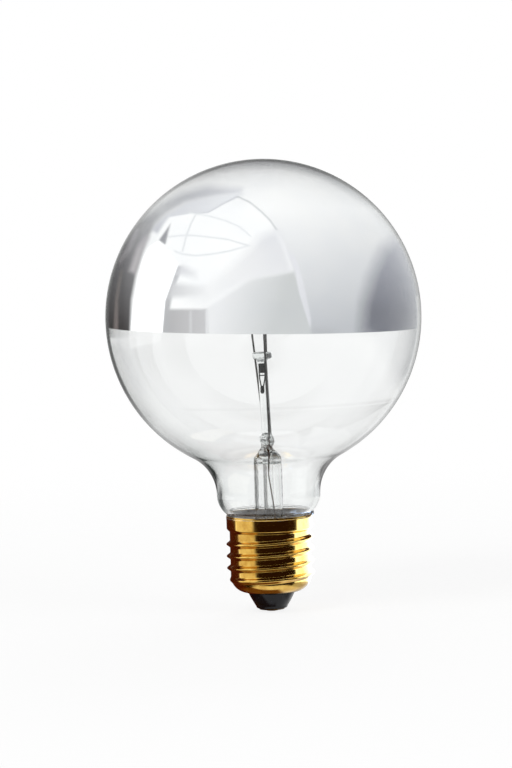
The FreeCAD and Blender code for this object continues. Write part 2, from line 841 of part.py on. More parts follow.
pieces = [
    glass_globe(),
    crown_mirror(),
    stem_flare(),
    exhaust_tube(),
    glass_rod(),
    inner_lead("inner_lead_front", dim.front_azimuth),
    inner_lead("inner_lead_rear", dim.rear_azimuth),
    seal_wire("seal_wire_front", dim.front_azimuth),
    seal_wire("seal_wire_rear", dim.rear_azimuth),
    contact_lead(),
    shell_lead(),
    filament(),
    *[filament_support(number) for number in range(1, supports + 1)],
    getter_flag(),
    screw_shell(),
    insulator(),
    contact_plate(),
    contact_solder(),
    side_solder(),
    basing_cement(),
]
doc.recompute()

for item in doc.Objects:
    if "Invalid" in item.State or "Error" in item.State:
        raise RuntimeError(f"{item.Label} failed: {item.State}")
for piece in pieces:
    if piece.Shape.isNull() or not piece.Shape.isValid():
        raise RuntimeError(f"{piece.Label} has no valid shape")
    if len(piece.Shape.Solids) != 1:
        raise RuntimeError(f"{piece.Label} has {len(piece.Shape.Solids)} solids")

os.makedirs("parts", exist_ok=True)
for piece in pieces:
    piece.Shape.exportStep(f"parts/{piece.Label}.step")
    print(piece.Label, round(piece.Shape.Volume, 3))
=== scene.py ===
import math

import bpy
import numpy as np
from mathutils import Matrix, Vector


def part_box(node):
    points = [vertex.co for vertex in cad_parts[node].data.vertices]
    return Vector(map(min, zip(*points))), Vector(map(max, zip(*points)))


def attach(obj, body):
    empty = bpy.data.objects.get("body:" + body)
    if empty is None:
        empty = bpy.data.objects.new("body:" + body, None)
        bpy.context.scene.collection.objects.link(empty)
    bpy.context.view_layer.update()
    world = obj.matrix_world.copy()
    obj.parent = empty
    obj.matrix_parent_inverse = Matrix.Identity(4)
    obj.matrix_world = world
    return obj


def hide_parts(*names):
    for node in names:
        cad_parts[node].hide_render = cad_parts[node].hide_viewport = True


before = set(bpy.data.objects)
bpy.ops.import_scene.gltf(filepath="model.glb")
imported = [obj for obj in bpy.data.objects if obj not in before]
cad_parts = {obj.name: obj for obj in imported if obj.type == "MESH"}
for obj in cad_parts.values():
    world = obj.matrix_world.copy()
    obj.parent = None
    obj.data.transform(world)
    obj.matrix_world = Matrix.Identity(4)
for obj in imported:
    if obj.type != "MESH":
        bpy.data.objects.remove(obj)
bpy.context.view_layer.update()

# Globe lamp with a mirrored crown. Shapes are worked out in millimetres in the CAD frame:
# origin at the centre contact, +Z along the axis to the crown, -Y the front.
mm = 0.001
around = 192  # steps round the axis on the large glass


def boxMm(node):
    low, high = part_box(node)
    return np.array(low) / mm, np.array(high) / mm


globeLow, globeHigh = boxMm("glass_globe")
shellLow, shellHigh = boxMm("screw_shell")
globeRadius = (globeHigh[0] - globeLow[0]) / 2
globeCentre = globeHigh[2] - globeRadius
rimHeight = shellHigh[2]
lipHeight = shellLow[2]


# Mesh helpers

def arc(centre, radius, start, stop, count):
    # points on a circle in the r-z plane, angles in degrees from +r
    angle = np.radians(np.linspace(start, stop, count))
    return np.stack([centre[0] + radius * np.cos(angle), centre[1] + radius * np.sin(angle)], -1)


def evenly(line, count):
    # the same line with points evenly spaced along it
    step = np.hypot(*np.diff(line, axis=0).T)
    along = np.concatenate([[0], np.cumsum(step)])
    at = np.linspace(0, along[-1], count)
    return np.stack([np.interp(at, along, line[:, axis]) for axis in range(line.shape[1])], -1)


def eased(share):
    # smooth step: three squares less two cubes of the share, held between 0 and 1
    share = np.clip(share, 0, 1)
    return share * share * (3 - 2 * share)


def quadsOf(index):
    # four-cornered faces between neighbouring rows and columns of a grid of point numbers
    return np.stack([index[:-1, :-1], index[:-1, 1:], index[1:, 1:], index[1:, :-1]], -1).reshape(-1, 4)


def turned(profile, count=around):
    # surface of revolution: each profile point (r, z) goes round the axis
    angle = np.linspace(0, 2 * np.pi, count, endpoint=False)
    r, z = profile[:, 0, None], profile[:, 1, None]
    return np.stack([r * np.cos(angle), r * np.sin(angle), z + 0 * angle], -1)


def piped(path, radius, normal, count=10):
    # round wire: a circle carried along a path that lies in one plane, ends closed to a point
    path = np.asarray(path, float)
    tangent = np.gradient(path, axis=0)
    tangent /= np.linalg.norm(tangent, axis=1)[:, None]
    side = np.cross(normal, tangent)
    side /= np.linalg.norm(side, axis=1)[:, None]
    other = np.cross(tangent, side)
    angle = np.linspace(0, 2 * np.pi, count, endpoint=False)
    ring = side[:, None] * np.cos(angle)[:, None] + other[:, None] * np.sin(angle)[:, None]
    tube = path[:, None] + np.asarray(radius, float).reshape(-1, 1, 1) * ring
    first = np.repeat(path[:1, None], count, axis=1)
    last = np.repeat(path[-1:, None], count, axis=1)
    return np.concatenate([first, tube, last])


def rounded(corners, bend, steps=8):
    # a line through corners, each corner replaced by an arc of its bend's radius
    corners = np.asarray(corners, float)
    bends = np.broadcast_to(bend, len(corners) - 2)
    parts = [corners[:1]]
    for before, here, after, bend in zip(corners[:-2], corners[1:-1], corners[2:], bends):
        back, ahead = before - here, after - here
        back, ahead = back / np.linalg.norm(back), ahead / np.linalg.norm(ahead)
        half = math.acos(np.clip(back @ ahead, -1, 1)) / 2
        middle = (back + ahead) / np.linalg.norm(back + ahead)
        centre = here + middle * bend / math.sin(half)
        swing = np.linspace(-1, 1, steps)[:, None] * (math.pi / 2 - half)
        across = (ahead - back) / np.linalg.norm(ahead - back)
        parts.append(centre - bend * middle * np.cos(swing) + bend * across * np.sin(swing))
    return np.concatenate([*parts, corners[-1:]])


def layMesh(name, grid, material, loop=False, sharp=40):
    # grid (rows, columns, 3) in mm. Columns close round, rows too if loop. Poles are welded.
    rows, columns = grid.shape[:2]
    index = np.arange(rows * columns).reshape(rows, columns)
    index = np.concatenate([index, index[:, :1]], 1)
    if loop:
        index = np.concatenate([index, index[:1]], 0)
    quads = quadsOf(index)
    points, weld = np.unique(np.round(grid.reshape(-1, 3), 6), axis=0, return_inverse=True)
    quads = weld.reshape(-1)[quads]
    corner = points[quads]
    volume = np.sum(corner.mean(1) * np.cross(corner[:, 2] - corner[:, 0], corner[:, 3] - corner[:, 1]))
    quads = quads if volume > 0 else quads[:, ::-1]
    same = quads == np.roll(quads, -1, axis=1)
    whole = quads[~same.any(1)].tolist()
    halves = [q[~s].tolist() for q, s in zip(quads[same.sum(1) == 1], same[same.sum(1) == 1])]
    mesh = bpy.data.meshes.new(name)
    mesh.from_pydata((points * mm).tolist(), [], whole + halves)
    mesh.polygons.foreach_set("use_smooth", np.ones(len(mesh.polygons), bool))
    mesh.set_sharp_from_angle(angle=math.radians(sharp))
    mesh.materials.append(material)
    piece = bpy.data.objects.new(name, mesh)
    bpy.context.scene.collection.objects.link(piece)
    return piece


def place(piece, slot, *nodes):
    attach(piece, "root")
    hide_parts(*nodes)


# Material helpers

def linear(hexColour):
    # sRGB hex to linear RGBA
    part = np.array([int(hexColour[i:i + 2], 16) for i in (1, 3, 5)]) / 255
    part = np.where(part <= 0.04045, part / 12.92, ((part + 0.055) / 1.055) ** 2.4)
    return (*part.tolist(), 1.0)


def between(first, second, share):
    # linear RGB part of the way from one hex colour to another
    return np.array(linear(first)[:3]) * (1 - share) + np.array(linear(second)[:3]) * share


def addNode(tree, kind, props=None, inputs=None, stops=None):
    # an input takes a plain value, or (node, output) for a link
    node = tree.nodes.new(kind)
    for name, value in (props or {}).items():
        setattr(node, name, value)
    for name, value in (inputs or {}).items():
        if isinstance(value, tuple) and hasattr(value[0], "outputs"):
            tree.links.new(value[0].outputs[value[1]], node.inputs[name])
        else:
            node.inputs[name].default_value = value
    for end, (at, colour) in zip((0, -1), stops or ()):
        node.color_ramp.elements[end].position = at
        node.color_ramp.elements[end].color = linear(colour)
    return node


def newMaterial(name):
    material = bpy.data.materials.new(name)
    material.use_nodes = True
    material.node_tree.nodes.clear()
    return material, material.node_tree


def finishMaterial(tree, surface, volume=None):
    inputs = {"Surface": (surface, 0)}
    if volume:
        inputs["Volume"] = (volume, 0)
    addNode(tree, "ShaderNodeOutputMaterial", inputs=inputs)


def noise(tree, sizeMm, detail, roughness=0.5, squash=None):
    # noise of about that size in the object's own coordinates, squashed along them if asked
    vector = (addNode(tree, "ShaderNodeTexCoord"), "Object")
    if squash:
        vector = (addNode(tree, "ShaderNodeMapping", inputs={"Vector": vector, "Scale": squash}), "Vector")
    return addNode(tree, "ShaderNodeTexNoise", inputs={
        "Vector": vector, "Scale": 1 / (sizeMm * mm), "Detail": detail, "Roughness": roughness})


def bumped(tree, source, strength, depthMm):
    # normal that a noise raises and sinks
    bump = addNode(tree, "ShaderNodeBump", inputs={
        "Strength": strength, "Distance": depthMm * mm, "Height": (source, "Fac")})
    return bump, "Normal"


def toned(tree, source, *stops):
    # colour that runs between two stops of a noise
    return addNode(tree, "ShaderNodeValToRGB", inputs={"Fac": (source, "Fac")}, stops=stops), "Color"


def ranged(tree, source, low, high, first, last):
    # number that runs from first to last where a noise runs from low to high
    node = addNode(tree, "ShaderNodeMapRange", inputs={
        "Value": (source, "Fac"), "From Min": low, "From Max": high, "To Min": first, "To Max": last})
    return node, "Result"


def mathNode(tree, operation, *values):
    return addNode(tree, "ShaderNodeMath", {"operation": operation}, dict(enumerate(values))), 0


def mixNode(tree, share, first, second):
    return addNode(tree, "ShaderNodeMixShader", inputs={0: share, 1: (first, 0), 2: (second, 0)})


def emission(tree, colour):
    return addNode(tree, "ShaderNodeEmission", inputs={"Color": colour, "Strength": 1.0})


def sodaGlass(name, waveMm, waveDepth, ior, tint, density):
    # blown soda-lime glass: clear, faint slow waves from blowing, green-grey where light runs along the wall
    material, tree = newMaterial(name)
    wave = noise(tree, waveMm, 1.0)
    glass = addNode(tree, "ShaderNodeBsdfPrincipled", inputs={
        "Base Color": linear("#FFFFFF"), "Roughness": 0.0, "IOR": ior, "Transmission Weight": 1.0,
        "Normal": bumped(tree, wave, 1.0, waveDepth)})
    body = addNode(tree, "ShaderNodeVolumeAbsorption", inputs={"Color": linear(tint), "Density": density})
    finishMaterial(tree, glass, body)
    return material


def silverFilm():
    # silver laid on the inside of the glass: a true mirror, with a breath of cloud from the coating
    material, tree = newMaterial("vacuumSilver")
    cloud = noise(tree, 18, 3.0)
    film = addNode(tree, "ShaderNodeBsdfPrincipled", inputs={
        "Base Color": toned(tree, cloud, (0.3, "#F2F3F5"), (0.7, "#F8F8F8")), "Metallic": 1.0,
        "Roughness": ranged(tree, cloud, 0.3, 0.7, 0.004, 0.02)})
    finishMaterial(tree, film)
    return material


def pressedBrass():
    # thin lacquered brass sheet, rolled to shape: sheen lines round the axis and slight tarnish
    material, tree = newMaterial("pressedBrass")
    sheen = noise(tree, 0.25, 4.0, squash=(0.06, 0.06, 1.0))
    stain = noise(tree, 3.5, 5.0, 0.6)
    sheet = addNode(tree, "ShaderNodeBsdfPrincipled", inputs={
        "Base Color": toned(tree, stain, (0.35, "#C99A3C"), (0.62, "#E6BE60")), "Metallic": 1.0,
        "Roughness": ranged(tree, stain, 0.35, 0.7, 0.2, 0.1),
        "Coat Weight": 0.5, "Coat Roughness": 0.05, "Normal": bumped(tree, sheen, 0.25, 0.01)})
    finishMaterial(tree, sheet)
    return material


def mouldedBlackGlass():
    # black glass poured into the cap: glossy, with shallow flow waves
    material, tree = newMaterial("mouldedBlackGlass")
    flow = noise(tree, 1.6, 2.0)
    glass = addNode(tree, "ShaderNodeBsdfPrincipled", inputs={
        "Base Color": toned(tree, flow, (0.35, "#08090D"), (0.7, "#14151C")), "Roughness": 0.12,
        "IOR": 1.52, "Specular IOR Level": 0.25, "Normal": bumped(tree, flow, 0.6, 0.06)})
    finishMaterial(tree, glass)
    return material


def grainy(name, colours, grainMm, depth, roughness, metallic):
    # a rough or dull stuff with grains of two tones and a matching bump
    material, tree = newMaterial(name)
    grain = noise(tree, grainMm, 6.0, 0.65)
    stuff = addNode(tree, "ShaderNodeBsdfPrincipled", inputs={
        "Base Color": toned(tree, grain, (0.3, colours[0]), (0.7, colours[1])), "Metallic": metallic,
        "Roughness": roughness, "Normal": bumped(tree, grain, 0.7, depth)})
    finishMaterial(tree, stuff)
    return material


globeGlass = sodaGlass("blownSodaGlass", 14, 0.004, 1.52, "#DCE6E2", 90)
mountGlass = sodaGlass("leadStemGlass", 2.2, 0.05, 1.55, "#DDE6E2", 60)
silver = silverFilm()
brass = pressedBrass()
blackGlass = mouldedBlackGlass()
cement = grainy("bakedCement", ("#6A5C54", "#A09088"), 0.5, 0.15, 0.9, 0.0)
nickel = grainy("drawnNickel", ("#3C3B38", "#605E5A"), 0.4, 0.01, 0.35, 1.0)
cladWire = grainy("copperCladWire", ("#2E2A27", "#5B4A3F"), 0.4, 0.01, 0.45, 1.0)
copper = grainy("tarnishedCopper", ("#4A3E36", "#75645A"), 0.4, 0.01, 0.4, 1.0)
tungsten = grainy("drawnTungsten", ("#3C3C40", "#5A5A5E"), 0.2, 0.01, 0.4, 1.0)
strip = grainy("greyedStrip", ("#1A1B1C", "#343638"), 0.6, 0.02, 0.5, 0.8)
darkBrass = grainy("tarnishedBrass", ("#2C2214", "#5A4626"), 0.7, 0.02, 0.4, 1.0)
solder = grainy("castSolder", ("#8E9092", "#C2C4C6"), 0.9, 0.08, 0.35, 1.0)
print("materials:", len(bpy.data.materials))


# Glass envelope: globe, hollow blend, neck, cone and the tail inside the cap

envelope = {
    "wall": 0.8,
    "neckWall": 1.45,  # the glass gathers where it is drawn in
    "neckRadius": 15.6,
    "blendRadius": 13.3,
    "shoulder": 7.2,  # bend from the neck to the cone
    "gather": 13,  # how far up and down from the neck it does so
    "rimRadius": 12.3,
    "rimClear": 0.05,  # height above the rim at which that radius holds
    "footBend": 1.6,
    "tailRadius": 10.2,
}


def envelopeSkin():
    # outer line of arcs from the crown to the tail, and an inner line set in along its normals by the wall
    radius, blend, neck = globeRadius, envelope["blendRadius"], envelope["neckRadius"]
    blendFoot = globeCentre - math.sqrt((radius + blend) ** 2 - (neck + blend) ** 2)
    blendCentre = (neck + blend, blendFoot)
    lean = math.degrees(math.atan2(blendFoot - globeCentre, blendCentre[0]))
    # the cone is the line from the rim that touches the shoulder's circle
    shoulder, tail, bend = envelope["shoulder"], envelope["tailRadius"], envelope["footBend"]
    rim = (envelope["rimRadius"], rimHeight + envelope["rimClear"])
    away, fall = rim[0] - neck + shoulder, blendFoot - rim[1]
    tilt = math.atan2(fall, away) - math.acos(shoulder / math.hypot(away, fall))
    coneFoot = rim[1] - (rim[0] - tail) / math.tan(tilt)
    outer = np.concatenate([
        arc((0, globeCentre), radius, 90, lean, 130),
        arc(blendCentre, blend, 180 + lean, 180, 26)[1:],
        arc((neck - shoulder, blendFoot), shoulder, 0, -math.degrees(tilt), 20)[1:],
        [(rim[0] + 0.5 * math.tan(tilt), rim[1] + 0.5), rim],
        arc((tail + bend, coneFoot - bend * math.tan(tilt / 2)), bend, 180 - math.degrees(tilt), 180, 7),
        [(tail, globeLow[2])],
    ])
    tangent = np.gradient(outer, axis=0)
    tangent /= np.linalg.norm(tangent, axis=1)[:, None]
    near = eased(1 - np.abs(outer[:, 1] - blendFoot) / envelope["gather"])
    thick = envelope["wall"] + (envelope["neckWall"] - envelope["wall"]) * near
    inner = outer + thick[:, None] * np.stack([tangent[:, 1], -tangent[:, 0]], -1)
    outer[0, 0] = inner[0, 0] = 0
    return outer, inner


outside, inside = envelopeSkin()
globe = layMesh("globe_glass", turned(np.concatenate([outside, inside[::-1]])), globeGlass, sharp=50)
place(globe, "clear_glass", "glass_globe")

# Silvering on the inside of the upper half. Its edge leans a little to the lamp's axis.

silvering = {"drop": 2.85, "gap": 0.03, "film": 0.05, "lean": 1.72}
face = globeRadius - envelope["wall"] - silvering["gap"]
edgeAngle = -math.degrees(math.asin(silvering["drop"] / globeRadius))
front = arc((0, 0), face, 90, edgeAngle, 90)
back = arc((0, 0), face - silvering["film"], edgeAngle, 90, 90)
front[0, 0] = back[-1, 0] = 0
lean = math.radians(silvering["lean"])
leaning = np.array([[math.cos(lean), 0, math.sin(lean)], [0, 1, 0], [-math.sin(lean), 0, math.cos(lean)]])
crown = layMesh("crown_silvering", turned(np.concatenate([front, back])) @ leaning.T + (0, 0, globeCentre),
                silver, sharp=50)
place(crown, "silver_film", "crown_mirror")
print("envelope and silvering done")


# Stem, press, rod and button: one fused glass body, with the bore of the stem tube below

stem = {
    "tube": 4.25,
    "wall": 0.6,
    "ledge": 1.45,  # flat ring at the seal
    "top": 25.5,  # top of the tube above the seal
    "roof": 0.6,
    "pressHeading": 102,  # degrees, broad side of the press
    "pressHeight": 6.3,
    "rod": 1.45,
    "rodLength": 23.2,
    "button": 2.9,
    "buttonHeight": 2.1,
    "buttonBend": 0.8,
    "lumps": 0.16,  # unevenness of the pinched glass
    "rodLean": 0.033,  # to the left, for each mm of height above the press
}
# the pinched glass: (height above the tube, half thickness, half breadth)
pinch = ((-1.9, 4.24, 4.25), (-0.7, 4.1, 4.2), (0.4, 3.6, 4.1), (1.1, 2.8, 4.1), (1.5, 2.4, 4.2),
         (2.2, 1.9, 4.1), (3.1, 1.5, 3.9), (4.0, 1.65, 3.75), (4.5, 2.1, 3.8), (5.0, 2.25, 3.8),
         (5.8, 1.95, 3.3))
sealHeight = globeLow[2]
stemTop = sealHeight + stem["top"]
pressTop = stemTop + stem["pressHeight"]
buttonFoot = pressTop + stem["rodLength"]
buttonTop = buttonFoot + stem["buttonHeight"]


def stemGlass():
    # rows are (height, half thickness, half breadth) of ovals, carried up from the seal to the button
    flare = envelope["tailRadius"] - stem["ledge"] - stem["tube"]
    curve = arc((stem["tube"] + flare, sealHeight + flare), flare, 270, 180, 16)
    rod, bend = stem["rod"], stem["buttonBend"]
    edge = stem["button"] - bend
    tube = [(z, r, r) for r, z in np.concatenate([
        [(envelope["tailRadius"], sealHeight)], curve, [(stem["tube"], stemTop - 3)]])]
    pinched = [(stemTop + up, thick, broad) for up, thick, broad in pinch]
    pinched += [(pressTop, 1.55, 2.4), (pressTop + 0.6, rod, rod + 0.1)]
    knob = [(buttonFoot - 0.7, rod, rod), (buttonFoot, rod + 0.35, rod + 0.35)]
    knob += [(buttonFoot + bend - bend * math.cos(a), edge + bend * math.sin(a), edge + bend * math.sin(a))
             for a in np.linspace(0.5, math.pi / 2, 5)]
    knob += [(buttonTop - bend + bend * math.sin(a), edge + bend * math.cos(a), edge + bend * math.cos(a))
             for a in np.linspace(0, math.pi / 2, 7)]
    order = evenly(np.array(tube + pinched + knob), 260)
    angle = np.linspace(0, 2 * np.pi, 64, endpoint=False)
    z, thick, broad = (order[:, i, None] for i in range(3))
    # lumps stand only on the press and the button
    uneven = np.exp(-((z - stemTop - 0.6 * stem["pressHeight"]) / 3.2) ** 2)
    uneven = uneven + 0.2 * np.exp(-((z - buttonTop + 1) / 1.0) ** 2)
    lump = 1 + stem["lumps"] * uneven * (np.sin(3 * angle + 1.9 * z) + np.sin(2 * angle - 2.7 * z + 1)) / 2
    turn = math.radians(stem["pressHeading"] - 90)
    x, y = thick * lump * np.cos(angle), broad * lump * np.sin(angle)
    aside = -stem["rodLean"] * np.clip(z - pressTop, 0, None)
    outer = np.stack([aside + x * math.cos(turn) - y * math.sin(turn),
                      x * math.sin(turn) + y * math.cos(turn), z + 0 * angle], -1)
    cap = np.zeros((1, len(angle), 3)) + (aside[-1, 0], 0, buttonTop - 0.05)
    bore = stem["tube"] - stem["wall"]
    inner = np.concatenate([
        [(0, stemTop - stem["roof"]), (bore - 0.8, stemTop - stem["roof"])],
        arc((bore - 0.8, stemTop - stem["roof"] - 0.8), 0.8, 80, 0, 6),
        arc((stem["tube"] + flare, sealHeight + flare), flare + stem["wall"], 180, 270, 16),
        [(envelope["tailRadius"], sealHeight - stem["wall"])],
    ])
    hollow = turned(evenly(inner, 120), len(angle))
    hollow[0, :, :2] = 0
    return np.concatenate([hollow, outer, cap])


stemPiece = layMesh("stem_glass", stemGlass(), mountGlass, sharp=50)
place(stemPiece, "clear_glass", "stem_flare", "glass_rod")

exhaust = {"radius": 1.5, "wall": 0.5, "length": 29.0, "gap": 0.05}
tubeTop = stemTop - stem["roof"] - exhaust["gap"]
tubeTip = tubeTop - exhaust["length"]
bore = exhaust["radius"] - exhaust["wall"]
tubeLine = np.concatenate([
    [(bore, tubeTop), (exhaust["radius"], tubeTop)],
    arc((0, tubeTip + exhaust["radius"]), exhaust["radius"], 0, -90, 9),
    arc((0, tubeTip + exhaust["radius"]), bore, -90, 0, 9),
])
tubeLine[np.abs(tubeLine[:, 0]) < 1e-6, 0] = 0
tube = layMesh("exhaust_tube_glass", turned(tubeLine, 48), mountGlass, loop=True, sharp=50)
place(tube, "clear_glass", "exhaust_tube")
print("stem and exhaust tube done")


# Wires of the mount

wires = {
    "frontAzimuth": -86,
    "rearAzimuth": 110,
    "circle": 2.425,  # seals from the axis
    "sealStub": 0.6,
    "sealTail": 3.6,
    "leadRise": 1.5,
    "leadTip": 4.5,
    "leadRadius": 0.3,
    "sealRadius": 0.25,
    "outerRadius": 0.2,
    "filamentRise": 9.5,
    "filamentRing": 10.5,
}
weldTop = pressTop + wires["sealStub"]
weldFoot = stemTop - stem["roof"] - wires["sealTail"]
filamentHeight = buttonTop + wires["filamentRise"]


def planePath(corners, azimuth, start=(0, 0)):
    # corners (reach, height) in the upright plane at an azimuth, from a start on the floor plan
    a = math.radians(azimuth)
    corners = np.asarray(corners, float)
    return np.stack([start[0] + corners[:, 0] * math.cos(a), start[1] + corners[:, 0] * math.sin(a),
                     corners[:, 1]], -1)


def layWire(name, corners, bend, radius, azimuth, material, slot, start=(0, 0), sides=12):
    line = planePath(rounded(corners, bend), azimuth, start)
    normal = (-math.sin(math.radians(azimuth)), math.cos(math.radians(azimuth)), 0)
    piece = layMesh(name + "_wire", piped(line, radius, normal, sides), material, sharp=60)
    place(piece, slot, name)


# each lead stands in its own upright plane: name, azimuths of its seal and its plane, where that starts
leads = (("front", wires["frontAzimuth"], -94.6, 0.86),
         ("rear", wires["rearAzimuth"], wires["rearAzimuth"], 0.0))
start, ring = wires["circle"], wires["filamentRing"]
leadCorners = [(start, weldTop), (start, weldTop + wires["leadRise"]),
               (ring, filamentHeight - wires["leadTip"]), (ring, filamentHeight - 0.32)]
for name, sealAzimuth, azimuth, aside in leads:
    layWire("inner_lead_" + name, leadCorners, 6.0, wires["leadRadius"], azimuth, nickel, "nickel_wire",
            (aside, 0))
    sealLine = np.concatenate([planePath([(start, weldFoot)], sealAzimuth),
                               planePath([(start, weldTop)], azimuth, (aside, 0))])
    sealGrid = piped(sealLine, wires["sealRadius"], (0, 1, 0), 12)
    sealWire = layMesh(f"seal_wire_{name}_wire", sealGrid, cladWire, sharp=60)
    place(sealWire, "copper_clad_wire", "seal_wire_" + name)

# the outer leads, as (reach, height): down to the contact, and out to the rim
turnHeight = tubeTip + exhaust["gap"] - 4.0 + exhaust["radius"]
layWire("contact_lead", [(start, weldFoot), (start, turnHeight), (0, turnHeight - 2.4), (0, 0.6)],
        1.2, wires["outerRadius"], wires["rearAzimuth"], copper, "copper_wire")
rimOut = {"azimuth": 11.2, "start": (0.169, -2.419), "slope": 18.9, "wall": 11.584, "groove": 12.47,
          "end": 13.029}
overRim = rimHeight + 0.18
layWire("shell_lead", [(0, weldFoot), (0, weldFoot - 1.3), (3.0, rimOut["slope"]),
                       (rimOut["wall"], rimOut["slope"]), (rimOut["wall"], 25.8), (rimOut["groove"], 27.0),
                       (rimOut["groove"], overRim), (rimOut["end"], overRim)],
        (1.3, 1.3, 1.3, 0.3, 0.3, 0.3), wires["outerRadius"], rimOut["azimuth"], copper, "copper_wire",
        rimOut["start"])

support = {"seat": 0.7, "sunk": 0.6, "rise": 6.4, "reach": 10.97, "tip": 1.2, "hook": 0.6, "bend": 0.8,
           "radius": 0.15}
supportCorners = [(support["seat"], buttonTop - support["sunk"]),
                  (support["seat"], buttonTop + support["rise"]),
                  (support["reach"], filamentHeight - support["tip"]),
                  (support["reach"], filamentHeight + support["hook"])]
for number, azimuth in enumerate((-37, 12, 61), 1):
    layWire(f"filament_support_{number}", supportCorners, support["bend"], support["radius"], azimuth, nickel,
            "nickel_wire", sides=8)

coil = {"turns": 110, "from": -89, "to": 113, "radius": 0.25, "wire": 0.05}


def coiledFilament():
    # a helix wound round an arc of a ring about the axis
    along = np.linspace(0, 1, coil["turns"] * 12 + 1)
    heading = np.radians(coil["from"] + (coil["to"] - coil["from"]) * along)
    swing = 2 * np.pi * coil["turns"] * along
    reach = wires["filamentRing"] + coil["radius"] * np.cos(swing)
    path = np.stack([reach * np.cos(heading), reach * np.sin(heading),
                     filamentHeight + coil["radius"] * np.sin(swing)], -1)
    ringTangent = np.stack([-np.sin(heading), np.cos(heading), 0 * heading], -1)
    return piped(path, coil["wire"], ringTangent, 6)


place(layMesh("filament_coil", coiledFilament(), tungsten), "tungsten", "filament")

# Small folded strip clipped to the front lead: blade, crimp and two prongs that meet in a tip

def flagRibbon(heights, middles, breadths, thickness):
    # a flat strip that follows the lead: a flattened oval carried down its outer side
    z, middle, broad = (np.asarray(part, float) for part in (heights, middles, breadths))
    bendHeight = weldTop + wires["leadRise"]
    climb = (wires["filamentRing"] - wires["circle"]) / (filamentHeight - wires["leadTip"] - bendHeight)
    reach = wires["circle"] + (z - bendHeight) * climb + wires["leadRadius"] + thickness
    angle = np.linspace(0, 2 * np.pi, 16, endpoint=False)
    across = np.sign(np.cos(angle)) * np.abs(np.cos(angle)) ** 0.4
    deep = np.sign(np.sin(angle)) * np.abs(np.sin(angle)) ** 0.4
    grid = np.stack([middle[:, None] + broad[:, None] * across, -reach[:, None] + thickness * deep,
                     z[:, None] + 0 * angle], -1)
    ends = [np.repeat(grid[i:i + 1].mean(1, keepdims=True), len(angle), 1) for i in (0, len(z) - 1)]
    return np.concatenate([ends[0], grid, ends[1]])


# heights, middles and half breadths down each part, and its half thickness
flagParts = {
    "blade": ((75.6, 75.5, 74.0, 72.8, 72.7), (-0.95, -0.95, -0.9, -0.87, -0.87),
              (0.85, 0.98, 1.0, 1.05, 0.9), 0.18),
    "crimp": ((72.1, 72.05, 71.85, 71.8), (-0.85,) * 4, (0.95, 1.05, 1.05, 0.95), 0.14),
    "prong_left": ((72.8, 71, 69, 67.2), (-1.7, -1.65, -1.35, -1.1), (0.18, 0.18, 0.2, 0.25), 0.14),
    "prong_right": ((72.8, 71, 69, 67.2), (-0.02, -0.12, -0.5, -0.8), (0.18, 0.18, 0.2, 0.25), 0.14),
    "tip": ((68.8, 68.3, 66.9, 66.4), (-0.95,) * 4, (0.3, 0.6, 0.62, 0.35), 0.22),
}
for name, (heights, middles, breadths, thickness) in flagParts.items():
    place(layMesh("flag_" + name, flagRibbon(heights, middles, breadths, thickness), strip, sharp=70),
          "dark_strip", "getter_flag")
print("mount done")


# Cap: rolled screw shell, black glass, contact, cement and the two solder spots

cap = {
    "wall": 0.3,
    "barrel": 12.13,
    "collar": 13.0,
    "shoulder": 4.8,
    "stepFoot": 24.3,
    "stepTop": 25.5,
    "pitch": 3.629,
    "depth": 1.095,
    "threadFoot": 3.8,  # ridge above the lip on the left side, where it fades in
    "turns": 3.5,
    "ridge": 1.18,  # half breadth of the rolled ridge
    "around": 200,
}


def screwShell():
    # a turned cup, pushed out along its normal where a helical ridge runs, which fades in and out over about
    # half a turn
    corner = (cap["barrel"] - cap["shoulder"], lipHeight + cap["shoulder"])
    stepHeight = np.linspace(cap["stepFoot"], cap["stepTop"], 16)
    share = (stepHeight - cap["stepFoot"]) / (cap["stepTop"] - cap["stepFoot"])
    step = cap["barrel"] + (cap["collar"] - cap["barrel"]) * eased(share)
    line = evenly(np.concatenate([
        arc(corner, cap["shoulder"], -90, 0, 60), np.stack([step, stepHeight], -1),
        [(cap["collar"], rimHeight - cap["wall"] / 2)]]), 280)
    tangent = np.gradient(line, axis=0)
    tangent /= np.linalg.norm(tangent, axis=1)[:, None]
    normal = np.stack([tangent[:, 1], -tangent[:, 0]], -1)
    angle = np.linspace(0, 2 * np.pi, cap["around"], endpoint=False)
    turn = (angle - np.pi) / (2 * np.pi)
    climbed = (line[:, 1, None] - lipHeight - cap["threadFoot"]) / cap["pitch"] - turn
    nearest = np.round(climbed)
    away = (climbed - nearest) * cap["pitch"] / cap["ridge"]
    bump = np.where(np.abs(away) < 1, 0.5 + 0.5 * np.cos(np.pi * away), 0)
    number = nearest + turn
    fade = np.minimum((number + 0.25) / 0.6, (cap["turns"] + 0.5 - number) / 0.5)
    height = cap["depth"] * bump * eased(fade)

    def skin(inset):
        r = line[:, 0, None] + normal[:, 0, None] * (height - inset)
        z = line[:, 1, None] + normal[:, 1, None] * (height - inset)
        return np.stack([r * np.cos(angle), r * np.sin(angle), z], -1)

    rim = arc((cap["collar"] - cap["wall"] / 2, rimHeight - cap["wall"] / 2), cap["wall"] / 2, 20, 160, 7)
    lip = arc((corner[0], lipHeight + cap["wall"] / 2), cap["wall"] / 2, 110, 250, 7)
    return np.concatenate([turned(lip, cap["around"]), skin(0), turned(rim, cap["around"]),
                           skin(cap["wall"])[::-3]])


shell = layMesh("cap_shell", screwShell(), brass, loop=True, sharp=60)
place(shell, "brass_sheet", "screw_shell")

blackFoot = {"foot": 1.0, "footRadius": 4.7, "footBend": 0.42, "coneFoot": 1.45, "hole": 1.2, "throat": 7.14,
             "bulge": 0.12, "wave": 0.05, "around": 96}


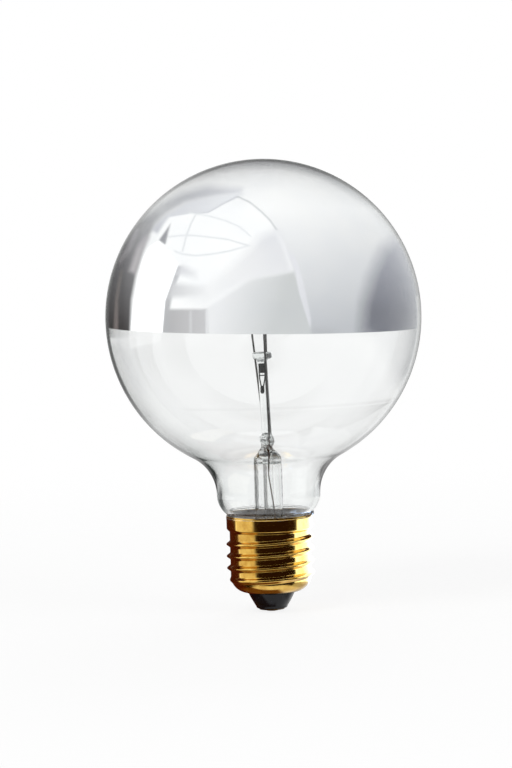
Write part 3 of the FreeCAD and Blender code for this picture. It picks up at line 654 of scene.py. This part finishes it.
def moulded():
    # a turned cone with a slightly bulged side and shallow waves round it, its upper part inside the shell
    low, hole, throat = blackFoot["foot"], blackFoot["hole"], blackFoot["throat"]
    bend, curve, share = blackFoot["footBend"], cap["shoulder"], np.linspace(0, 1, 14)[1:]
    side = blackFoot["footRadius"] + (throat - blackFoot["footRadius"]) * share
    side = side + blackFoot["bulge"] * np.sin(np.pi * share)
    height = blackFoot["coneFoot"] + (lipHeight - 0.05 - blackFoot["coneFoot"]) * share
    line = np.concatenate([
        [(hole, low)],
        arc((blackFoot["footRadius"] - bend, low + bend), bend, -90, -5, 7),
        np.stack([side, height], -1),
        [(throat, lipHeight + 0.35)],
        arc((cap["barrel"] - curve, lipHeight + curve), curve - 0.34, -88, -31, 12),
        [(hole, lipHeight + 2.5)],
    ])
    grid = turned(line, blackFoot["around"])
    angle = np.linspace(0, 2 * np.pi, blackFoot["around"], endpoint=False)
    swell = np.sin(np.pi * np.clip((line[:, 1, None] - low) / (lipHeight - low), 0, 1))
    swell = 1 + blackFoot["wave"] / 6 * swell * (np.sin(7 * angle + 0.6) + np.sin(4 * angle))
    grid[:, :, :2] *= swell[:, :, None]
    return grid


foot = layMesh("black_glass_foot", moulded(), blackGlass, loop=True, sharp=50)
place(foot, "black_glass", "insulator")

plateLine = np.concatenate([[(0, 1.3), (3.9, 1.3)], arc((3.9, 1.1), 0.2, 80, -30, 6),
                            [(3.8, 0.62), (2.9, 0.6), (0, 0.6)]])
place(layMesh("contact_disc", turned(plateLine, 72), darkBrass), "brass_sheet", "contact_plate")


def solderDome(centre, axis, radius, rise, seed):
    # half an ellipsoid with low lumps, standing on a flat base, its top along the axis
    share = np.linspace(0, 1, 14)[:, None]
    angle = np.linspace(0, 2 * np.pi, 40, endpoint=False)
    lump = 1 + 0.09 * share * (np.sin(2 * angle + seed) + 0.6 * np.sin(3 * angle + 2 * seed))
    reach = radius * share * lump / 1.15
    height = rise * np.sqrt(np.clip(1 - share ** 2.4, 0, 1)) + 0 * angle
    axis = np.array(axis, float)
    side = np.cross(axis, (0, 1, 0))
    other = np.cross(axis, side)
    cosine, sine = (reach * np.cos(angle))[..., None], (reach * np.sin(angle))[..., None]
    dome = cosine * side + sine * other + height[..., None] * axis
    base = np.zeros((1, len(angle), 3)) - 0.05 * axis
    return np.concatenate([dome, base]) + centre


contactSolder = solderDome((0, 0, 0.6), (0, 0, -1), 2.6, 0.6, 1.0)
place(layMesh("contact_solder_dome", contactSolder, solder, sharp=60), "solder", "contact_solder")
sideSolder = solderDome((cap["collar"] - 0.02, 0, rimHeight + 0.2), (1, 0, 0), 0.9, 0.55, 2.1)
place(layMesh("side_solder_dome", sideSolder, solder, sharp=60), "solder", "side_solder")

ring = {"foot": 26.0, "outer": 12.64, "notch": 6.0, "rough": 0.05}


def cementRing():
    # a turned ring that fills the gap between glass and collar, its outer side grooved once for the wire
    low, high = ring["foot"], rimHeight - 0.02
    glassHeight = np.linspace(high, low, 16)
    glass = np.interp(-glassHeight, -outside[:, 1], outside[:, 0]) + 0.03
    line = np.concatenate([np.stack([glass, glassHeight], -1), [
        (ring["outer"], low), (ring["outer"], 27.5), (ring["outer"], high - 0.3),
        (ring["outer"] - 0.03, high - 0.08), (ring["outer"] - 0.12, high)]])
    angle = np.linspace(0, 2 * np.pi, 240, endpoint=False)
    outer = (np.arange(len(line)) >= len(glass))[:, None]
    ripple = ring["rough"] * (1 + np.sin(23 * angle) * np.sin(9 * angle + 1) + 0.5 * np.sin(41 * angle))
    z = line[:, 1, None] - ripple * (line[:, 1, None] > high - 0.1)
    away = np.abs((angle + np.pi) % (2 * np.pi) - np.pi)
    groove = np.clip((math.radians(ring["notch"] / 2 + 1) - away) / math.radians(1), 0, 1) * outer
    beside = np.interp(-line[:, 1], -outside[:, 1], outside[:, 0])[:, None] + 0.08
    radius = line[:, 0, None] + (np.minimum(line[:, 0, None], beside) - line[:, 0, None]) * groove
    return np.stack([radius * np.cos(angle), radius * np.sin(angle), z], -1)


place(layMesh("cement_ring", cementRing(), cement, loop=True, sharp=50), "cement", "basing_cement")
print("cap done")


# Stage: white world, pale floor, soft lamps, and a room that only reflections and bent glass rays see

stage = {
    "worldLight": 0.42,
    "floorRadius": 0.5,
    "floorGlow": 0.86,
    "straightDepth": 4.0,  # bends of light through both walls
    "mirrorDepth": 5.0,  # bends of light to the silver and back
}
scene = bpy.context.scene
scene.view_settings.view_transform = "Standard"
scene.cycles.max_bounces = scene.cycles.transmission_bounces = 24
scene.cycles.glossy_bounces = 8

world = bpy.data.worlds.new("whiteRoom")
scene.world = world
world.use_nodes = True
tree = world.node_tree
tree.nodes.clear()
path = addNode(tree, "ShaderNodeLightPath")
seen = mathNode(tree, "MAXIMUM", (path, "Is Camera Ray"), (path, "Is Glossy Ray"))
seen = mathNode(tree, "MAXIMUM", seen, (path, "Is Transmission Ray"))
white = linear("#FFFFFF")
light = addNode(tree, "ShaderNodeBackground", inputs={"Color": white, "Strength": stage["worldLight"]})
shown = addNode(tree, "ShaderNodeBackground", inputs={"Color": white, "Strength": 1.0})
mix = mixNode(tree, seen, light, shown)
addNode(tree, "ShaderNodeOutputWorld", inputs={"Surface": (mix, 0)})


def layStage(name, grid, tone, material, deep=None):
    # an open grid in metres with a colour and a cover value at each point
    rows, columns = grid.shape[:2]
    index = np.arange(rows * columns).reshape(rows, columns)
    mesh = bpy.data.meshes.new(name)
    mesh.from_pydata(grid.reshape(-1, 3).tolist(), [], quadsOf(index).tolist())
    mesh.materials.append(material)
    for label, values in (("tone", tone), ("deep", tone if deep is None else deep)):
        layer = mesh.attributes.new(label, "FLOAT_COLOR", "POINT")
        layer.data.foreach_set("color", values.reshape(-1).astype(np.float32))
    thing = bpy.data.objects.new(name, mesh)
    scene.collection.objects.link(thing)
    return thing


# white paper that glows for the camera, keeps the shadow and ends softly
paper, tree = newMaterial("whitePaper")
path = addNode(tree, "ShaderNodeLightPath")
tone = addNode(tree, "ShaderNodeAttribute", {"attribute_name": "tone"})
matte = addNode(tree, "ShaderNodeBsdfDiffuse", inputs={"Color": linear("#F6F6F6")})
part = mathNode(tree, "MULTIPLY", (path, "Is Camera Ray"), stage["floorGlow"])
lit = mixNode(tree, part, matte, emission(tree, white))
mix = mixNode(tree, (tone, "Alpha"), addNode(tree, "ShaderNodeBsdfTransparent"), lit)
finishMaterial(tree, mix)
share, angle = np.meshgrid(np.linspace(0, 1, 40), np.linspace(0, 2 * np.pi, 73), indexing="ij")
disc = stage["floorRadius"] * share[..., None] * np.stack([np.cos(angle), np.sin(angle), 0 * angle], -1)
paperTone = np.ones((*share.shape, 4))
paperTone[..., 3] = eased((1 - share) / 0.8)
floor = layStage("floor", disc, paperTone, paper)
floor.visible_glossy = floor.visible_transmission = False

roomMaterial, tree = newMaterial("roomLight")
path = addNode(tree, "ShaderNodeLightPath")
tone = addNode(tree, "ShaderNodeAttribute", {"attribute_name": "tone"})
# light that went straight through both walls of the globe passes the room and meets the white world
straight = mathNode(tree, "COMPARE", (path, "Ray Depth"), stage["straightDepth"], 0.1)
skip = mathNode(tree, "MULTIPLY", straight, (path, "Is Transmission Ray"))
cover = mathNode(tree, "MULTIPLY", mathNode(tree, "SUBTRACT", 1.0, skip), (tone, "Alpha"))
# light that ran along the globe's wall (fewer bends) or through the mount (more) meets a plainer room
deep = addNode(tree, "ShaderNodeAttribute", {"attribute_name": "deep"})
mirror = mathNode(tree, "COMPARE", (path, "Ray Depth"), stage["mirrorDepth"], 0.1)
many = mathNode(tree, "MULTIPLY", mathNode(tree, "SUBTRACT", 1.0, mirror), (path, "Is Transmission Ray"))
either = mixNode(tree, many, emission(tree, (tone, "Color")), emission(tree, (deep, "Color")))
mix = mixNode(tree, cover, addNode(tree, "ShaderNodeBsdfTransparent"), either)
finishMaterial(tree, mix)
roomMaterial.cycles.emission_sampling = "NONE"


def hideStage(thing, bent=False):
    # seen by reflections alone, or by light bent in glass too
    thing.visible_camera = thing.visible_diffuse = thing.visible_shadow = thing.visible_volume_scatter = False
    thing.visible_transmission = bent


# The room is laid out as a mirror ball shows it, in hundredths of the ball's radius. A patch has its outline,
# its colours with the places they hold, how soft its edge is and, for one, a gain. A line has its points,
# colour and breadth.
room = {"reach": 1.6, "tilt": 2.54, "roll": -1.72, "gain": 1.15, "deepDark": 0.05, "farTone": 0.34,
        "bent": ("topShade", "leftRim", "rightRim")}
patches = {
    "rightWall": ([(-15, 77), (-1, 65), (8, 54), (13, 45), (18, 30), (23, 11), (29, -12), (101, -12),
                   (100, 11), (96, 31),
                   (89, 51), (76, 70), (60, 84), (42, 93), (21, 98), (-1, 100), (-15, 99), (-30, 96),
                   (-20, 82)],
                  ("#FFFFFF", (8, 78)), ("#BABCC0", (39, -10)), 1.5),
    "topShade": ([(-53, 83), (-26, 92), (-3, 94), (23, 92), (51, 80), (74, 60), (86, 43), (99, 11),
                  (103, 11), (96, 43),
                  (80, 67), (55, 87), (23, 101), (-5, 103), (-31, 98), (-56, 85)],
                 ("#D8D8DA", (-40, 88)), ("#C8CACC", (48, 87)), 5),
    "rightDark": ([(80, -40), (70, -16), (61, -8), (62, 8), (67, 25), (74, 42), (86, 52), (115, 52),
                   (120, -40)],
                  ("#9496A2", (84, 46)), ("#5A5C68", (80, 3)), 12),
    "lowShade": ([(-92, -20), (-76, -16), (-30, -13), (40, -13), (70, -30), (75, -65), (40, -95),
                  (-40, -95), (-78, -66)],
                 ("#4E4E4E", (-25, -22)), ("#BCBCBC", (50, -50)), 16),
    "upperBand": ([(-89, 45), (-77, 62), (-65, 72), (-51, 78), (-35, 82), (-14, 80), (-14, 77),
                   (-32, 74), (-48, 71),
                   (-60, 64), (-70, 55), (-80, 43)],
                  ("#86868A", (-77, 59)), ("#D8D9DF", (-17, 79)), 6),
    "underBand": ([(-70, 55), (-60, 64), (-48, 71), (-32, 75), (-16, 77), (-16, 75), (-26, 70),
                   (-35, 65), (-46, 65), (-59, 63),
                   (-66, 52)], ("#C4C5CC", (-64, 58)), ("#F0F1F4", (-20, 76)), 2),
    "leftWall": ([(-104, -13), (-102, 11), (-97, 31), (-89, 46), (-79, 60), (-68.5, 58), (-72.5, 49),
                  (-75.5, 40),
                  (-79.5, 27), (-82.5, 11), (-83.5, -13)], ("#454140", (-93, -8)),
                  ("#98979A", (-78, 54)), 2),
    "leftRim": ([(-97, -10), (-91, -33), (-82, -51.5), (-72, -65), (-77, -69), (-87, -55), (-97, -35),
                 (-102.5, -11)],
                ("#3A3836", (-95, -30)), ("#7A7C78", (-74, -66)), 1.5),
    "rightRim": ([(95.5, 13), (96.5, 0), (93, -25), (83.5, -48), (68, -68), (48, -83.5), (33, -90.5),
                  (36, -98),
                  (52, -90), (73.5, -73.5), (90, -52), (100.5, -27), (104, 0), (103, 14)],
                 ("#B4B6B8", (96, 5)), ("#F2F2F2", (70, -70)), 1.5),
    "streak": ([(-84, 29), (-79, 44), (-74, 51), (-71, 50), (-76, 40), (-80, 27)],
               ("#C3BEC0", (-79, 38)), ("#B4B0B4", (-73, 50)), 3),
    "streakHigh": ([(-92, 36), (-86, 44), (-80, 56), (-78, 55), (-83, 42), (-90, 33)],
                   ("#A8A5A8", (-88, 40)), ("#B8B6BA", (-80, 54)), 2.5),
    "streakLow": ([(-94, -10), (-93, 11), (-90, 29), (-88, 29), (-91, 11), (-91, -10)],
                  ("#8A807E", (-92, -2)), ("#8A8684", (-89, 26)), 1.5),
    "lightWall": ([(-49, 9), (-17, 34), (-2, 50), (8, 54), (14, 43), (19, 27), (-8, 21), (-35, 6)],
                  ("#F6F6F6", (-31, 17)), ("#E4E4E7", (12, 39)), 8),
    "gable": ([(-43, -13), (-39, 3), (-8, 23), (19, 28), (27, 6), (30, -13)],
              ("#EDEDEE", (-26, 14)), ("#C8CACA", (10, 3)), 3),
    "bench": ([(-63, -13), (-62, 5), (-35, 5), (-34, -13)], ("#ACABAD", (-59, -5)),
               ("#C4C3C5", (-36, -3)), 2),
    "leftEdge": ([(-63, -13), (-62, 9), (-58, 21), (-53, 32), (-50, 31), (-56, 16), (-58, 5), (-59, -13)],
                 ("#AFAFB1", (-60, -2)), ("#C6C6C9", (-53, 30)), 1.5),
    "bar": ([(-59, 12), (-56, 21), (-35, 19), (-35, 13)], ("#CFCFD1", (-58, 16)), ("#F2F2F2", (-36, 15)),
             4),
    "barHigh": ([(-53, 27), (-50, 32), (-41, 28), (-41, 23)], ("#DEDEE1", (-50, 29)),
                 ("#F4F4F4", (-41, 26)), 4),
    "post": ([(15, 39), (19, 30), (22, 14), (27, -2), (29, -7), (29, 0), (26, 14), (23, 27), (19, 38)],
             ("#E4E4E8", (21, 30)), ("#DCDCE0", (27, 1)), 1),
    "window": ([(-83.4, -13), (-81.4, 7), (-78.4, 24), (-75.4, 36), (-71, 44), (-65, 47), (-53, 33),
                (-56, 24),
                (-61, 10), (-63, -13), (-63.5, -14.8), (-82, -19.6)], ("#FFFFFF", (-70, 0)),
                ("#FFFFFF", (-70, 40)), 1, 1.45),
    "darkTip": ([(-58, 58), (-61, 45), (-65, 48)], ("#88888E", (-61, 50)), ("#88888E", (-58, 58)), 1.2),
}
lines = {
    "benchGap": ([(-45, 3), (-45, -9)], "#CCCCCE", 1),
    "benchEnd": ([(-35, 4), (-35, -10)], "#E2E2E4", 1),
    "archEdge": ([(-16, 75), (-8, 71), (-1, 65), (4, 60), (8, 54)], "#CDCFD1", 0.6),
    "eaves": ([(-59, 63), (-46, 65), (-35, 65), (-31, 67), (-26, 70), (-16, 75)], "#CFD0D6", 0.6),
    "beam": ([(-59, 50), (-48, 51), (-37, 50), (-22, 48), (-9, 44)], "#E4E6E8", 0.55),
    "beamHigh": ([(-46, 65), (-35, 63), (-24, 60), (-15, 56), (-8, 50)], "#E8EAEC", 0.55),
    "rafter": ([(-42, 64), (-45, 58), (-48, 50), (-50, 41)], "#E0E2E4", 0.55),
    "rafterLow": ([(-55, 41), (-50, 39), (-42, 38), (-31, 39), (-20, 41), (-10, 44)], "#E6E8EA", 0.6),
}


def farFrom(points, corners, closed):
    # distance to a line of corners, counted positive inside a closed outline
    start = np.array(corners, float)
    stop = np.roll(start, -1, axis=0)
    if not closed:
        start, stop = start[:-1], stop[:-1]
    run = stop - start
    off = points[:, None] - start
    along = np.clip((off * run).sum(-1) / (run * run).sum(-1), 0, 1)
    distance = np.linalg.norm(off - along[..., None] * run, axis=-1).min(1)
    if not closed:
        return distance
    x, y = points[:, :1], points[:, 1:]
    rise = np.where(run[:, 1] == 0, 1e-9, run[:, 1])
    spans = (start[:, 1] > y) != (stop[:, 1] > y)
    crosses = spans & (x < start[:, 0] + run[:, 0] * (y - start[:, 1]) / rise)
    return np.where(crosses.sum(1) % 2 == 1, distance, -distance)


def bentRound(corners, steps=4):
    # the same outline, its sides bent along circles about the chart's middle
    spot = np.array([*corners, corners[0]], float)
    at = np.linspace(0, len(corners), len(corners) * steps, endpoint=False)
    index = np.arange(len(corners) + 1)
    out = np.interp(at, index, np.hypot(*spot.T))
    turn = np.interp(at, index, np.unwrap(np.arctan2(spot[:, 1], spot[:, 0])))
    return np.stack([out * np.cos(turn), out * np.sin(turn)], -1)


def onBall(out, turn, reach):
    # each chart point (u, v) stands for the direction that a mirror ball would show there
    u, v = (out * np.cos(turn)).reshape(-1), (out * np.sin(turn)).reshape(-1)
    tilt, roll = math.radians(room["tilt"]), math.radians(room["roll"])
    ahead = np.array([0, -math.cos(tilt), math.sin(tilt)])
    level, upright = np.array([1, 0, 0]), np.array([0, math.sin(tilt), math.cos(tilt)])
    right = level * math.cos(roll) + upright * math.sin(roll)
    up = upright * math.cos(roll) - level * math.sin(roll)
    w = np.sqrt(np.clip(1 - u * u - v * v, 0, 1))[:, None]
    normal = u[:, None] * right + v[:, None] * up + w * ahead
    grid = reach * (2 * w * normal - ahead) + (0, 0, globeCentre * mm)
    return grid.reshape(*out.shape, 3), np.stack([u, v], -1) * 100


def layRoom():
    # patches and lines painted one over the other on white
    out = np.sin(np.linspace(0, np.pi / 2, 240))
    out, turn = np.meshgrid(out, np.linspace(0, 2 * np.pi, 401), indexing="ij")
    grid, chart = onBall(out, turn, room["reach"])
    tone = np.ones((len(chart), 4))
    for name, (corners, (colour, at), (other, to), soft, *gain) in patches.items():
        corners = bentRound(corners) if name in room["bent"] else corners
        cover = np.clip(0.5 + farFrom(chart, corners, True) / soft, 0, 1)[:, None]
        run = np.array(to, float) - at
        share = np.clip((chart - at) @ run / (run @ run), 0, 1)[:, None]
        paint = between(colour, other, share) * (gain or [1])[0]
        tone[:, :3] += (paint - tone[:, :3]) * cover
    for corners, colour, breadth in lines.values():
        cover = np.clip(1.3 - farFrom(chart, corners, False) / breadth, 0, 1)[:, None]
        tone[:, :3] += (np.array(linear(colour)[:3]) - tone[:, :3]) * cover
    tone[:, :3] *= room["gain"]
    # straight behind the lamp all tones run into one
    away = np.hypot(chart[:, :1], chart[:, 1:])
    tone[:, :3] += (room["farTone"] - tone[:, :3]) * eased((away - 96.3) / 3)
    # dark at the far left, the top and the foot, white straight behind
    share = np.clip(np.minimum(chart[:, :1] + 88, 92 - np.abs(chart[:, 1:])) / 25, 0, 1)
    share = np.maximum(share, np.clip((away - 99) / 0.5, 0, 1))
    deep = np.repeat(room["deepDark"] + (1 - room["deepDark"]) * share, 4, 1)
    return grid, tone.reshape(*out.shape, 4), deep.reshape(*out.shape, 4)


roomGrid, roomTone, roomDeep = layRoom()
hideStage(layStage("room", roomGrid, roomTone, roomMaterial, roomDeep), True)

# screens round the cap, below the crown's view: azimuths from the front, + to the right, heights and reach in
# mm, lower and upper colour, gain
screens = {
    "front": ((-39, 70), (-44, 66), 40, "#2A1A0C", "#2E1C10", 1.0),
    "left": ((-87, -39), (-8, 29), 41, "#FFF8E8", "#FFF8E8", 1.0),
    "leftLow": ((-87, -39), (-44, -8), 41, "#1A1008", "#1A1008", 1.0),
    "leftEdge": ((-180, -87), (-44, 29), 40, "#5A2412", "#4A2012", 1.0),
    "right": ((54, 150), (3, 28), 22, "#CEE2FF", "#CEE2FF", 3.8),
    "rightEdge": ((162, 180), (-30, 40), 40, "#4A3010", "#4A3010", 1.0),
}
for name, (azimuth, heights, reach, low, high, gain) in screens.items():
    u, v = np.meshgrid(np.linspace(0, 1, 49), np.linspace(0, 1, 33))
    a = np.radians(azimuth[0] + (azimuth[1] - azimuth[0]) * u)
    z = heights[0] + (heights[1] - heights[0]) * v
    edge = np.clip(np.minimum(u, 1 - u) * 24, 0, 1) * np.clip(np.minimum(v, 1 - v) * 40, 0, 1)
    tone = gain * between(low, high, v[..., None])
    grid = np.stack([reach * np.sin(a), -reach * np.cos(a), z], -1) * mm
    hideStage(layStage("screen_" + name, grid, np.concatenate([tone, edge[..., None]], -1), roomMaterial))

# flat lids over the screens part the cap's view from the glass's: azimuths, height, inner and outer reach in
# mm, colour
lids = {
    "right": ((66, 180), 28.7, 13.8, 41, "#4E3212"),
    "rightTop": ((40, 180), 29.2, 13.8, 42, "#F0F0F0"),
    "left": ((-180, -80), 28.7, 13.8, 41, "#4A2012"),
    "leftTop": ((-180, -80), 29.2, 13.8, 42, "#6E7470"),
}
for name, (azimuth, height, near, far, colour) in lids.items():
    u, v = np.meshgrid(np.radians(np.linspace(*azimuth, 49)), np.linspace(near, far, 5))
    grid = np.stack([v * np.sin(u), -v * np.cos(u), height + 0 * u], -1) * mm
    hideStage(layStage("lid_" + name, grid, np.broadcast_to(linear(colour), (*u.shape, 4)), roomMaterial))

# card under the cap for the shoulder: white in front and at the right, brown below and behind
under = {"half": 34, "front": -38, "behind": 24, "height": -20, "colour": "#754F22"}
u, v = np.meshgrid(np.linspace(-1, 1, 33), np.linspace(under["front"], under["behind"], 63))
card = np.stack([under["half"] * u, v, under["height"] + 0 * u], -1) * mm
share = np.clip((v + 15) / 3, 0, 1) * np.clip((11 - under["half"] * u) / 4, 0, 1)
edge = np.clip((1 - np.abs(u)) * 5, 0, 1) * np.clip((v - under["front"]) / 4, 0, 1)
edge = edge * np.clip((under["behind"] - v) / 3, 0, 1)
cardTone = np.concatenate([between("#FFFFFF", under["colour"], share[..., None]), edge[..., None]], -1)
hideStage(layStage("under_card", card, cardTone, roomMaterial))

# dark flags behind the lamp, seen only by reflections that graze its edge: (turn on the chart, tone)
flagTones = ((0, 0.3), (55, 0.16), (90, 0.12), (140, 0.5), (180, 0.06), (215, 0.12), (245, 0.5), (290, 0.85),
             (315, 0.5), (335, 0.3), (360, 0.3))
out, turn = np.meshgrid(np.linspace(0.95, 1, 30), np.linspace(0, 2 * np.pi, 145), indexing="ij")
grey = np.interp(np.degrees(turn), *zip(*flagTones))
cover = np.clip((out - 0.968) / 0.018, 0, 1)
flagGrid = onBall(out, turn, 0.96 * room["reach"])[0]
hideStage(layStage("back_flags", flagGrid, np.stack([grey, grey, grey, cover], -1), roomMaterial))

lamps = {
    "key": ((-0.9, -1.1, 1.4), 0.8, 16),
    "fill": ((1.3, -0.9, 0.8), 1.0, 9),
    "back": ((0.3, 1.4, 1.2), 1.0, 8),
}
for name, (at, size, power) in lamps.items():
    lamp = bpy.data.lights.new("lamp_" + name, "AREA")
    lamp.size, lamp.energy = size, power
    holder = bpy.data.objects.new("lamp_" + name, lamp)
    holder.location = at
    holder.rotation_euler = (Vector((0, 0, 0.06)) - Vector(at)).to_track_quat("-Z", "Y").to_euler()
    holder.visible_glossy = holder.visible_transmission = holder.visible_camera = False
    scene.collection.objects.link(holder)
print("stage done")

view = {"from": (-0.00282, -0.9, 0.1289), "to": (-0.00282, 0.0, 0.0689), "lens": 140.3, "roll": -1.72}
lens = bpy.data.cameras.new("camera")
lens.lens, lens.sensor_width, lens.sensor_fit = view["lens"], 36.0, "AUTO"
lens.clip_start, lens.clip_end = 0.01, 50
camera = bpy.data.objects.new("camera", lens)
aim = (Vector(view["to"]) - Vector(view["from"])).to_track_quat("-Z", "Y").to_matrix().to_4x4()
roll = Matrix.Rotation(math.radians(view["roll"]), 4, "Z")
camera.matrix_world = Matrix.Translation(view["from"]) @ aim @ roll
scene.collection.objects.link(camera)
scene.camera = camera
